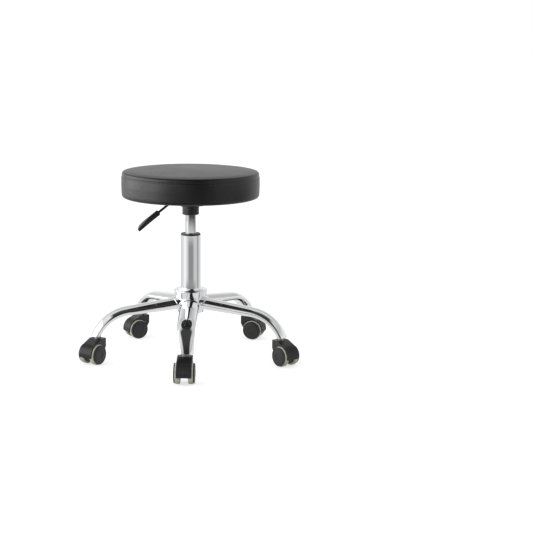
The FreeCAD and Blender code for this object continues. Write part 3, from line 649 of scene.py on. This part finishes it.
# Seat
def cushion_profile(look, inset):
    """Half section of the cushion, from the middle of its underside to the middle of its top."""
    radius = SEAT_RADIUS - inset
    bottom = SEAT_LOW.z
    shoulder = SEAT_HIGH.z - look.crown - inset
    waist = radius - look.side_bulge
    dome = radius - look.top_round
    dome_radius = (dome ** 2 + look.crown ** 2) / (2 * look.crown)
    dome_centre = (0, shoulder + look.crown - dome_radius)
    rim = math.degrees(math.acos(dome / dome_radius))
    foot = (waist - look.foot_round, bottom + look.foot_round)
    roll = (waist - look.top_round, shoulder - look.top_round)
    lip = SEAT_RADIUS - look.lip_width
    points = [(0, BOARD_LOW.z + look.board_gap), (lip, BOARD_LOW.z + look.board_gap), (lip, bottom)]
    points += arc(foot, look.foot_round, -90, 0)
    points.append((radius, (foot[1] + roll[1]) / 2))
    points += arc(roll, look.top_round, 0, 88)
    points += arc(dome_centre, dome_radius, rim, 90, 12)[1:]
    return points


def puff(piece, look, seam_z):
    """Swell a cushion in the cloth solver, held at its seam and underside, with its travel capped."""
    take(piece)
    piece.data.remesh_voxel_size = look.voxel
    bpy.ops.object.voxel_remesh()
    pinned = piece.vertex_groups.new(name="held")
    held = []
    for point in piece.data.vertices:
        at_seam = abs(point.co.z - seam_z) < look.voxel * SEAM_HOLD
        at_side = math.hypot(point.co.x, point.co.y) > SEAT_RADIUS * SIDE_SHARE
        if (at_seam and at_side) or point.co.z < SEAT_LOW.z + look.voxel / 2:
            held.append(point.index)
    pinned.add(held, 1.0, "REPLACE")
    before = [point.co.copy() for point in piece.data.vertices]
    cloth = piece.modifiers.new("stuffing", "CLOTH")
    cloth.settings.vertex_group_mass = pinned.name
    cloth.settings.use_pressure = True
    cloth.settings.uniform_pressure_force = look.pressure
    cloth.settings.effector_weights.gravity = 0
    for step in range(1, SOLVER_FRAMES + 1):
        bpy.context.scene.frame_set(step)
    bpy.ops.object.modifier_apply(modifier=cloth.name)
    bpy.context.scene.frame_set(1)
    moves = []
    for point, old in zip(piece.data.vertices, before):
        move = point.co - old
        moves.append(move * min(1.0, look.swell / max(move.length, look.swell / 2)))
    stretch_even(piece, look, before, moves)
    piece.vertex_groups.clear()
    apply_modifier(piece, "SMOOTH", factor=0.4, iterations=2)
    apply_modifier(piece, "SUBSURF", levels=1, render_levels=1)


def stretch_even(piece, look, before, moves):
    """Move each point mostly as its neighbours round the seat move, like a cover pulled tight."""
    outward = [Vector((old.x, old.y, 0)).normalized() for old in before]
    sums = {}
    for old, move, out in zip(before, moves, outward):
        push = Vector((move.dot(out), move.z, 1))
        for cell, share in near_rings(old, look.voxel):
            sums[cell] = sums.get(cell, Vector((0, 0, 0))) + push * share
    for point, old, move, out in zip(piece.data.vertices, before, moves, outward):
        push = Vector((0, 0, 0))
        for cell, share in near_rings(old, look.voxel):
            push += sums[cell] * share / sums[cell].z
        even = out * push.x + UP * push.y
        point.co = old + move.lerp(even, look.tightness)


def near_rings(place, width):
    """The four rings round the seat that lie nearest to a place, each with its share."""
    across = math.hypot(place.x, place.y) / width
    up = place.z / width
    column, row = math.floor(across), math.floor(up)
    right, above = across - column, up - row
    shares = {
        (column, row): (1 - right) * (1 - above),
        (column + 1, row): right * (1 - above),
        (column, row + 1): (1 - right) * above,
        (column + 1, row + 1): right * above,
    }
    return [(cell, share) for cell, share in shares.items() if share > 0]


def sew_seam(piece, look, seam_z):
    """Cut edge loops along the seam, then draw the cover in there with small gathers."""
    take(piece)
    edit()
    for step in range(-5, 6):
        select_mesh()
        height = seam_z + step * look.seam_width * 0.5
        bpy.ops.mesh.bisect(plane_co=(0, 0, height), plane_no=UP)
    done()
    for point in piece.data.vertices:
        flat = Vector((point.co.x, point.co.y, 0))
        gap = (point.co.z - seam_z) / look.seam_width
        if flat.length < SEAT_RADIUS * SIDE_SHARE or abs(gap) > SEAM_REACH:
            continue
        groove = look.seam_depth * math.exp(-gap * gap)
        wave = math.sin(look.pucker_count * math.atan2(flat.y, flat.x))
        gather = look.pucker * wave * math.exp(-abs(gap) / 3)
        point.co += flat.normalized() * (gather - groove)


def fold_lip(piece, look):
    """Lift the underside inside the cover's lip, where the board and its dust cloth are."""
    for point in piece.data.vertices:
        out = math.hypot(point.co.x, point.co.y)
        if out < SEAT_RADIUS - look.lip_width and point.co.z < BOARD_LOW.z + look.board_gap:
            point.co.z = BOARD_LOW.z + look.board_gap


class STOOL_OT_cushion(bpy.types.Operator):
    """Make the padded seat with its sewn seam"""
    bl_idname = "stool.cushion"
    bl_label = "Seat cushion"

    def execute(self, context):
        look = context.scene.stool_seat
        seam_z = SEAT_HIGH.z - look.crown - look.seam_drop
        piece = lathe(cushion_profile(look, look.swell * SWELL_INSET), SEAT_STEPS)
        puff(piece, look, seam_z)
        fold_lip(piece, look)
        sew_seam(piece, look, seam_z)
        nodes = ("seat_cover", "seat_foam")
        settle(piece, "seat_cushion", leatherette(look), "seat", nodes, 60)
        return {"FINISHED"}


class STOOL_OT_stitching(bpy.types.Operator):
    """Sew the row of stitches under the seam"""
    bl_idname = "stool.stitching"
    bl_label = "Seam stitches"

    def execute(self, context):
        look = context.scene.stool_seat
        height = SEAT_HIGH.z - look.crown - look.seam_drop - 2 * look.seam_width
        band = []
        for point in bpy.data.objects["seat_cushion"].data.vertices:
            if abs(point.co.z - height) < look.seam_width:
                band.append(math.hypot(point.co.x, point.co.y))
        outer = max(band) - look.pucker
        start_fresh()
        place = (outer, 0, height)
        bpy.ops.mesh.primitive_uv_sphere_add(segments=8, ring_count=6, radius=0.5, location=place)
        edit()
        size = (look.thread, look.stitch_length, look.thread)
        bpy.ops.transform.resize(value=size, center_override=place)
        done()
        piece = bpy.context.object
        fix_place()
        edit()
        select_mesh()
        ring_of_copies(round(math.tau * outer / look.stitch_pitch))
        done()
        settle(piece, "seam_stitches", sewing_thread(look), "seat")
        return {"FINISHED"}


class STOOL_OT_underside(bpy.types.Operator):
    """Make the dust cloth under the seat, its hem and its staples"""
    bl_idname = "stool.underside"
    bl_label = "Seat underside"

    def execute(self, context):
        look = context.scene.stool_seat
        self.make_cloth(look)
        self.make_staples(look, plain_steel(context.scene.stool_chrome))
        return {"FINISHED"}

    def make_cloth(self, look):
        edge = SEAT_RADIUS - look.lip_width - look.cloth_gap
        top = CLOTH_HIGH.z
        low = CLOTH_LOW.z
        hem = (top - low) / 2
        profile = [(0, low), (edge * 0.72, low), (edge - 6 * hem, low)]
        profile += arc((edge - hem, low + hem), hem, -90, 90, 6)
        profile += [(0, top)]
        piece = lathe(profile, CLOTH_STEPS)
        settle(piece, "dust_cloth", dust_cloth(look), "seat", ("dust_cover",))

    def make_staples(self, look, steel):
        out = node_radius("dust_cover") - look.staple_length / 2
        wire = look.staple_wire
        height = CLOTH_LOW.z
        start_fresh()
        bpy.ops.mesh.primitive_cube_add(size=1, location=(out, 0, height))
        piece = bpy.context.object
        piece.scale = (wire, look.staple_length, wire)
        fix_place()
        edit()
        select_mesh()
        bpy.ops.mesh.bevel(offset=wire * 0.3, segments=2, affect="EDGES")
        select_mesh()
        ring_of_copies(look.staple_count)
        done()
        settle(piece, "cloth_staples", steel, "seat")


# Release lever
class STOOL_OT_lever_grip(bpy.types.Operator):
    """Mould the grip of the release lever"""
    bl_idname = "stool.lever_grip"
    bl_label = "Lever grip"

    def execute(self, context):
        look = context.scene.stool_lever
        start_fresh()
        bpy.ops.mesh.primitive_cube_add(size=1)
        piece = bpy.context.object
        run = look.grip_length - look.sleeve_length
        stations = (
            (look.sleeve_length, look.sleeve_width, look.sleeve_thickness),
            (look.sleeve_length + run * 0.3, look.blade_width * 0.86, look.sleeve_thickness * 0.9),
            (look.sleeve_length + run * 0.6, look.blade_width, look.blade_thickness),
            (look.grip_length, look.blade_width, look.tip_thickness),
        )
        piece.scale = (look.cap_length, look.sleeve_width, look.sleeve_thickness)
        piece.location = (-look.cap_length / 2, 0, 0)
        fix_place()
        edit("FACE")
        bpy.ops.mesh.select_all(action="DESELECT")
        done()
        for face in piece.data.polygons:
            face.select = face.normal.x < -0.5
        edit("FACE")
        here = (look.cap_length, look.sleeve_width, look.sleeve_thickness)
        for there in stations:
            share = max(0.0, (there[0] - look.sleeve_length) / run)
            drop = look.droop * share * share
            bpy.ops.mesh.extrude_region_move(
                TRANSFORM_OT_translate={"value": (here[0] - there[0], 0, 0)})
            bpy.ops.transform.resize(
                value=(1, there[1] / here[1], there[2] / here[2]), center_override=(-there[0], 0, 0))
            bpy.ops.transform.translate(value=(0, 0, -drop))
            here = there
        done()
        skew = math.tan(look.tip_skew)
        for point in piece.data.vertices:
            if point.co.x < -look.grip_length + 0.001:
                point.co.x -= point.co.y * skew
        apply_modifier(piece, "BEVEL", width=look.edge_round, segments=4, limit_method="ANGLE")
        lay = Matrix.Translation((-look.start, 0, 0))
        slope = Matrix.Rotation(-look.slope, 4, "Y")
        place = Matrix.Translation((-look.bend_reach, 0, LEVER_PIVOT.z))
        turn = Matrix.Rotation(LEVER_TURN, 4, UP)
        piece.data.transform(turn @ place @ slope @ lay)
        material = moulded_plastic("grip_plastic", context.scene.stool_plastic.moulding, 0.30)
        settle(piece, "lever_grip", material, "release_lever", ("lever_handle",), 50)
        return {"FINISHED"}


# Star base
class STOOL_OT_legs(bpy.types.Operator):
    """Draw the five chromed legs, section by section"""
    bl_idname = "stool.legs"
    bl_label = "Legs"

    def execute(self, context):
        look = context.scene.stool_chrome
        material = chrome_plate(look)
        finish_nodes(material, "base_hub", "column_tube", "gas_cylinder")
        leg = self.make_leg(look)
        for number in CASTERS:
            stem = Vector(joint("caster_%d_swivel" % number)["pos_m"])
            piece = leg.copy()
            piece.data = leg.data.copy()
            bpy.context.scene.collection.objects.link(piece)
            turn_mesh(piece, math.atan2(stem.y, stem.x))
            settle(piece, "leg_%d" % number, material, "base", ("base_leg_%d" % number,))
        bpy.data.objects.remove(leg)
        return {"FINISHED"}

    def station(self, look, distance, tip):
        """Place, slope and section of a leg at a distance along its line, with the tip's place given."""
        sweep = look.tip_slope - look.root_slope
        bend = look.bend_radius * sweep
        start_x = tip.x - look.bend_radius * (math.sin(look.tip_slope) - math.sin(look.root_slope))
        start_z = tip.z + look.bend_radius * (math.cos(look.root_slope) - math.cos(look.tip_slope))
        straight = (start_x - look.inner_radius) / math.cos(look.root_slope)
        along = distance - straight
        if along <= 0:
            share = distance / straight
            place = Vector((start_x, 0, start_z))
            place += Vector((along * math.cos(look.root_slope), 0, -along * math.sin(look.root_slope)))
            width = look.root_width + share * (look.bend_width - look.root_width)
            height = look.root_height + share * (look.bend_height - look.root_height)
            return place, look.root_slope, width, height
        share = min(along / bend, 1.0)
        slope = look.root_slope + share * sweep
        past = max(along - bend, 0.0)
        out = look.bend_radius * (math.sin(slope) - math.sin(look.root_slope)) + past * math.cos(slope)
        down = look.bend_radius * (math.cos(look.root_slope) - math.cos(slope)) + past * math.sin(slope)
        place = Vector((start_x + out, 0, start_z - down))
        width = look.bend_width + share * (look.tip_width - look.bend_width)
        height = look.bend_height + share * (look.tip_height - look.bend_height)
        return place, slope, width, height

    def make_leg(self, look):
        """One leg along +X: an oval extruded ring by ring down its line and cut level at the tip."""
        stem = Vector(joint("caster_1_swivel")["pos_m"])
        tip_z = self.tip_height()
        tip = Vector((math.hypot(stem.x, stem.y) + look.tip_overhang, 0, tip_z))
        bend = look.bend_radius * (look.tip_slope - look.root_slope)
        bend_run = look.bend_radius * (math.sin(look.tip_slope) - math.sin(look.root_slope))
        run = tip.x - bend_run - look.inner_radius
        total = run / math.cos(look.root_slope) + bend + look.tip_height
        start_fresh()
        bpy.ops.mesh.primitive_circle_add(vertices=LEG_SIDES, radius=0.5, rotation=(0, math.pi / 2, 0))
        piece = bpy.context.object
        fix_place()
        edit()
        select_mesh()
        here = Vector((0, 0, 0))
        slope, width, height = 0.0, 1.0, 1.0
        for ring in range(LEG_RINGS + 1):
            distance = total * ring / LEG_RINGS
            there, new_slope, new_width, new_height = self.station(look, distance, tip)
            if ring:
                bpy.ops.mesh.extrude_edges_move(TRANSFORM_OT_translate={"value": there - here})
            else:
                bpy.ops.transform.translate(value=there)
            bpy.ops.transform.rotate(value=slope, orient_axis="Y", center_override=there)
            bpy.ops.transform.resize(
                value=(1, new_width / width, new_height / height), center_override=there)
            bpy.ops.transform.rotate(value=-new_slope, orient_axis="Y", center_override=there)
            here, slope, width, height = there, new_slope, new_width, new_height
        select_mesh()
        bpy.ops.mesh.bisect(plane_co=(0, 0, tip_z), plane_no=UP, clear_inner=True, use_fill=True)
        bpy.ops.mesh.bevel(offset=look.edge_round, segments=3, affect="EDGES")
        clean_mesh()
        done()
        return piece

    def tip_height(self):
        """Height of the legs' cut ends, from a leg's own CAD mesh near its stem."""
        stem = Vector(joint("caster_1_swivel")["pos_m"])
        near = []
        for point in frame["nodes"]["base_leg_1"].data.vertices:
            if math.hypot(point.co.x - stem.x, point.co.y - stem.y) < STEM_REACH:
                near.append(point.co.z)
        return min(near)


# Metal and plastic pieces that keep their CAD shape
class STOOL_OT_hardware(bpy.types.Operator):
    """Finish the lift, the seat mechanism and the pieces inside them"""
    bl_idname = "stool.hardware"
    bl_label = "Lift and mechanism"

    def execute(self, context):
        chrome = context.scene.stool_chrome
        plastic = context.scene.stool_plastic
        steel = plain_steel(chrome)
        finish_nodes(
            steel, "caster_stems", "stem_grip_rings", "thrust_bearing", "piston_rod", "piston_head",
            "rod_clip", "rod_guide", "lever_pivot_pin", "plate_bolts", "tee_nuts")
        paint = powder_coat(chrome)
        finish_nodes(paint, "taper_socket", "lever_rod")
        soften("seat_plate", "mounting_plate", paint, chrome.plate_round)
        finish_nodes(
            moulded_plastic("satin_moulding", plastic.moulding, 0.30),
            "guide_bushing", "socket_collar", "release_button")
        finish_nodes(bumper_rubber(plastic), "stop_bumper")
        finish_nodes(plywood(), "seat_board")
        return {"FINISHED"}


class STOOL_OT_casters(bpy.types.Operator):
    """Finish the hoods, wheels, treads and axles"""
    bl_idname = "stool.casters"
    bl_label = "Casters"

    def execute(self, context):
        plastic = context.scene.stool_plastic
        hood = moulded_plastic("hood_plastic", plastic.caster, 0.26)
        wheel = moulded_plastic("wheel_plastic", plastic.caster, 0.30)
        tread = soft_tread(plastic)
        steel = plain_steel(context.scene.stool_chrome)
        for number in CASTERS:
            node, name = "caster_hood_%d" % number, "hood_%d" % number
            soften(node, name, hood, plastic.hood_round)
            finish_nodes(steel, "caster_axle_%d" % number)
            for side in SIDES:
                finish_nodes(wheel, "wheel_%d_%s" % (number, side))
                finish_nodes(tread, "tyre_%d_%s" % (number, side))
        return {"FINISHED"}


# Stage
class STOOL_OT_stage(bpy.types.Operator):
    """Lay the floor, build the room that metal mirrors, hang the lamp and set up the camera"""
    bl_idname = "stool.stage"
    bl_label = "Stage and camera"

    def execute(self, context):
        look = context.scene.stool_stage
        context.scene.view_settings.view_transform = "Standard"
        self.make_world(context.scene, look)
        self.make_floor(look)
        self.make_room(look)
        self.make_lamp(context.scene, look)
        self.make_camera(context.scene, look)
        return {"FINISHED"}

    def seen_share(self, graph):
        """1 for rays that show the background: from the camera, off metal or through glass."""
        rays = ("Is Camera Ray", "Is Glossy Ray", "Is Transmission Ray")
        share = sum(graph.node("ShaderNodeLightPath", output=ray) for ray in rays)
        return graph.ramp(share, 0.0, 1.0)

    def make_world(self, scene, look):
        world = bpy.data.worlds.new("studio")
        scene.world = world
        graph = Graph(world)
        light = graph.node("ShaderNodeBackground", None, {"Color": (1, 1, 1, 1), "Strength": look.ambient})
        white = graph.node("ShaderNodeBackground", None, {"Color": (1, 1, 1, 1), "Strength": 1.0})
        both = graph.node("ShaderNodeMixShader", None, {0: self.seen_share(graph), 1: light, 2: white})
        graph.node("ShaderNodeOutputWorld", None, {"Surface": both})

    def make_floor(self, look):
        start_fresh()
        bpy.ops.mesh.primitive_plane_add(size=60)
        floor = bpy.context.object
        floor.name = "floor"
        material = bpy.data.materials.new("studio_floor")
        graph = Graph(material)
        paint = graph.node("ShaderNodeBsdfDiffuse", None, {"Color": (*look.floor, 1)})
        glow = graph.node("ShaderNodeEmission", None, {"Color": (1, 1, 1, 1), "Strength": look.floor_glow})
        lit = graph.node("ShaderNodeAddShader", None, {0: paint, 1: glow})
        both = graph.node("ShaderNodeMixShader", None, {0: self.seen_share(graph), 1: paint, 2: lit})
        graph.node("ShaderNodeOutputMaterial", None, {"Surface": both})
        floor.data.materials.append(material)

    def card_material(self, name, brightness):
        """Card whose brightness comes from a function of its graph."""
        material = bpy.data.materials.new(name)
        material.cycles.emission_sampling = "NONE"
        graph = Graph(material)
        glow = graph.node("ShaderNodeEmission", None, {"Color": brightness(graph), "Strength": 1.0})
        graph.node("ShaderNodeOutputMaterial", None, {"Surface": glow})
        return material

    def show_in_metal_only(self, card):
        """Cards shape what glossy surfaces mirror. They are out of sight and cast no shade."""
        card.visible_camera = False
        card.visible_diffuse = False
        card.visible_shadow = False
        card.visible_transmission = False

    def make_room(self, look):
        """A dome and a floor for metal to mirror: pale all round, dark behind the camera."""
        ahead = Vector((math.sin(look.azimuth), -math.cos(look.azimuth), 0))
        dome = lathe(arc((0, 0), ROOM_RADIUS, 0, 90, 18), ROOM_STEPS)
        dome.name = "room_dome"

        def dome_light(graph):
            place = graph.place()
            aim = ahead * math.cos(look.dark_height) + UP * math.sin(look.dark_height)
            facing = graph.dot(place, aim / ROOM_RADIUS)
            dark = graph.ramp(facing, math.cos(look.dark_outer), math.cos(look.dark_inner))
            height = graph.dot(place, UP / ROOM_RADIUS)
            aside = graph.dot(place, UP.cross(ahead) / ROOM_RADIUS)
            lean = aside - (1.0 - height) * look.dark_lean
            width = graph.node("ShaderNodeMath", {"operation": "ABSOLUTE"}, {0: lean})
            width = width + graph.dot(place, ahead * look.dark_taper / ROOM_RADIUS)
            dark = dark * graph.ramp(width, look.dark_width + DARK_EDGE, look.dark_width - DARK_EDGE)
            glow = graph.ramp(aside, *GLOW_ASIDE) * graph.ramp(height, *GLOW_UP)
            pale = graph.stops(height, PALE_BANDS) * (1.0 + glow * look.left_glow)
            return pale + dark * (graph.stops(height, DARK_BANDS) - pale)

        dome.data.materials.append(self.card_material("room_dome", dome_light))
        self.show_in_metal_only(dome)

        disc = lathe([(ROOM_RADIUS * share, ROOM_FLOOR) for share in (0, 0.5, 1)], ROOM_STEPS)
        disc.name = "room_floor"

        def disc_light(graph):
            place = graph.place()
            reach = graph.node("ShaderNodeVectorMath", {"operation": "LENGTH"}, {0: place}, "Value")
            light = look.floor_mirror
            for heading, inner, outer, rise, fall, depth in FLOOR_SHADES:
                turn = math.radians(heading) + look.azimuth
                aim = Vector((math.sin(turn), -math.cos(turn), 0))
                facing = graph.dot(place, aim).over(reach)
                shade = graph.ramp(facing, math.cos(math.radians(outer)), math.cos(math.radians(inner)))
                shade = shade * graph.ramp(reach, *rise) * graph.ramp(reach, *fall)
                light = light * (1.0 - shade * depth)
            return light

        disc.data.materials.append(self.card_material("room_floor", disc_light))
        self.show_in_metal_only(disc)

    def make_lamp(self, scene, look):
        """One wide soft lamp on the left."""
        lamp = bpy.data.lights.new("key_lamp", "AREA")
        lamp.shape = "RECTANGLE"
        lamp.size, lamp.size_y = look.key_width, look.key_height
        lamp.energy = look.key
        holder = bpy.data.objects.new("key_lamp", lamp)
        scene.collection.objects.link(holder)
        holder.location = look.key_place
        holder.rotation_mode = "QUATERNION"
        aim = Vector((0, 0, look.key_aim)) - Vector(look.key_place)
        holder.rotation_quaternion = aim.to_track_quat("-Z", "Y")

    def make_camera(self, scene, look):
        """Stand the camera at the photograph's place, turned to keep the stool's place in the frame."""
        data = bpy.data.cameras.new("camera")
        camera = bpy.data.objects.new("camera", data)
        scene.collection.objects.link(camera)
        data.sensor_width = SENSOR_WIDTH
        data.lens = look.focal_pixels / IMAGE_SIDE * SENSOR_WIDTH
        camera.location = (
            look.distance * math.sin(look.azimuth), -look.distance * math.cos(look.azimuth), look.height)
        ahead = Vector((0, 0, look.aim_height)) - camera.location
        swing = math.atan((IMAGE_SIDE / 2 - look.aim_pixel_x) / look.focal_pixels)
        nod = math.atan((IMAGE_SIDE / 2 - look.aim_pixel_y) / look.focal_pixels)
        camera.rotation_mode = "QUATERNION"
        camera.rotation_quaternion = (
            ahead.to_track_quat("-Z", "Y")
            @ Quaternion((0, 1, 0), -swing)
            @ Quaternion((1, 0, 0), -nod))
        scene.camera = camera


class STOOL_PT_panel(bpy.types.Panel):
    """Lists the stool's operators"""
    bl_idname = "STOOL_PT_panel"
    bl_label = "Technician stool"
    bl_space_type = "VIEW_3D"
    bl_region_type = "UI"
    bl_category = "Stool"

    def draw(self, context):
        for operator in OPERATORS:
            self.layout.operator(operator.bl_idname)


LOOKS = {
    "stool_seat": SeatLook,
    "stool_lever": LeverLook,
    "stool_chrome": ChromeLook,
    "stool_plastic": PlasticLook,
    "stool_stage": StageLook,
}
OPERATORS = (
    STOOL_OT_cushion,
    STOOL_OT_stitching,
    STOOL_OT_underside,
    STOOL_OT_lever_grip,
    STOOL_OT_legs,
    STOOL_OT_hardware,
    STOOL_OT_casters,
    STOOL_OT_stage,
)


def register():
    for look in LOOKS.values():
        bpy.utils.register_class(look)
    for name, look in LOOKS.items():
        setattr(bpy.types.Scene, name, bpy.props.PointerProperty(type=look))
    for item in (*OPERATORS, STOOL_PT_panel):
        bpy.utils.register_class(item)


def unregister():
    for item in (STOOL_PT_panel, *reversed(OPERATORS)):
        bpy.utils.unregister_class(item)
    for name, look in LOOKS.items():
        delattr(bpy.types.Scene, name)
        bpy.utils.unregister_class(look)


def main():
    register()
    bpy.ops.stool.cushion()
    bpy.ops.stool.stitching()
    bpy.ops.stool.underside()
    bpy.ops.stool.lever_grip()
    bpy.ops.stool.legs()
    bpy.ops.stool.hardware()
    bpy.ops.stool.casters()
    bpy.ops.stool.stage()


if __name__ == "__main__":
    main()
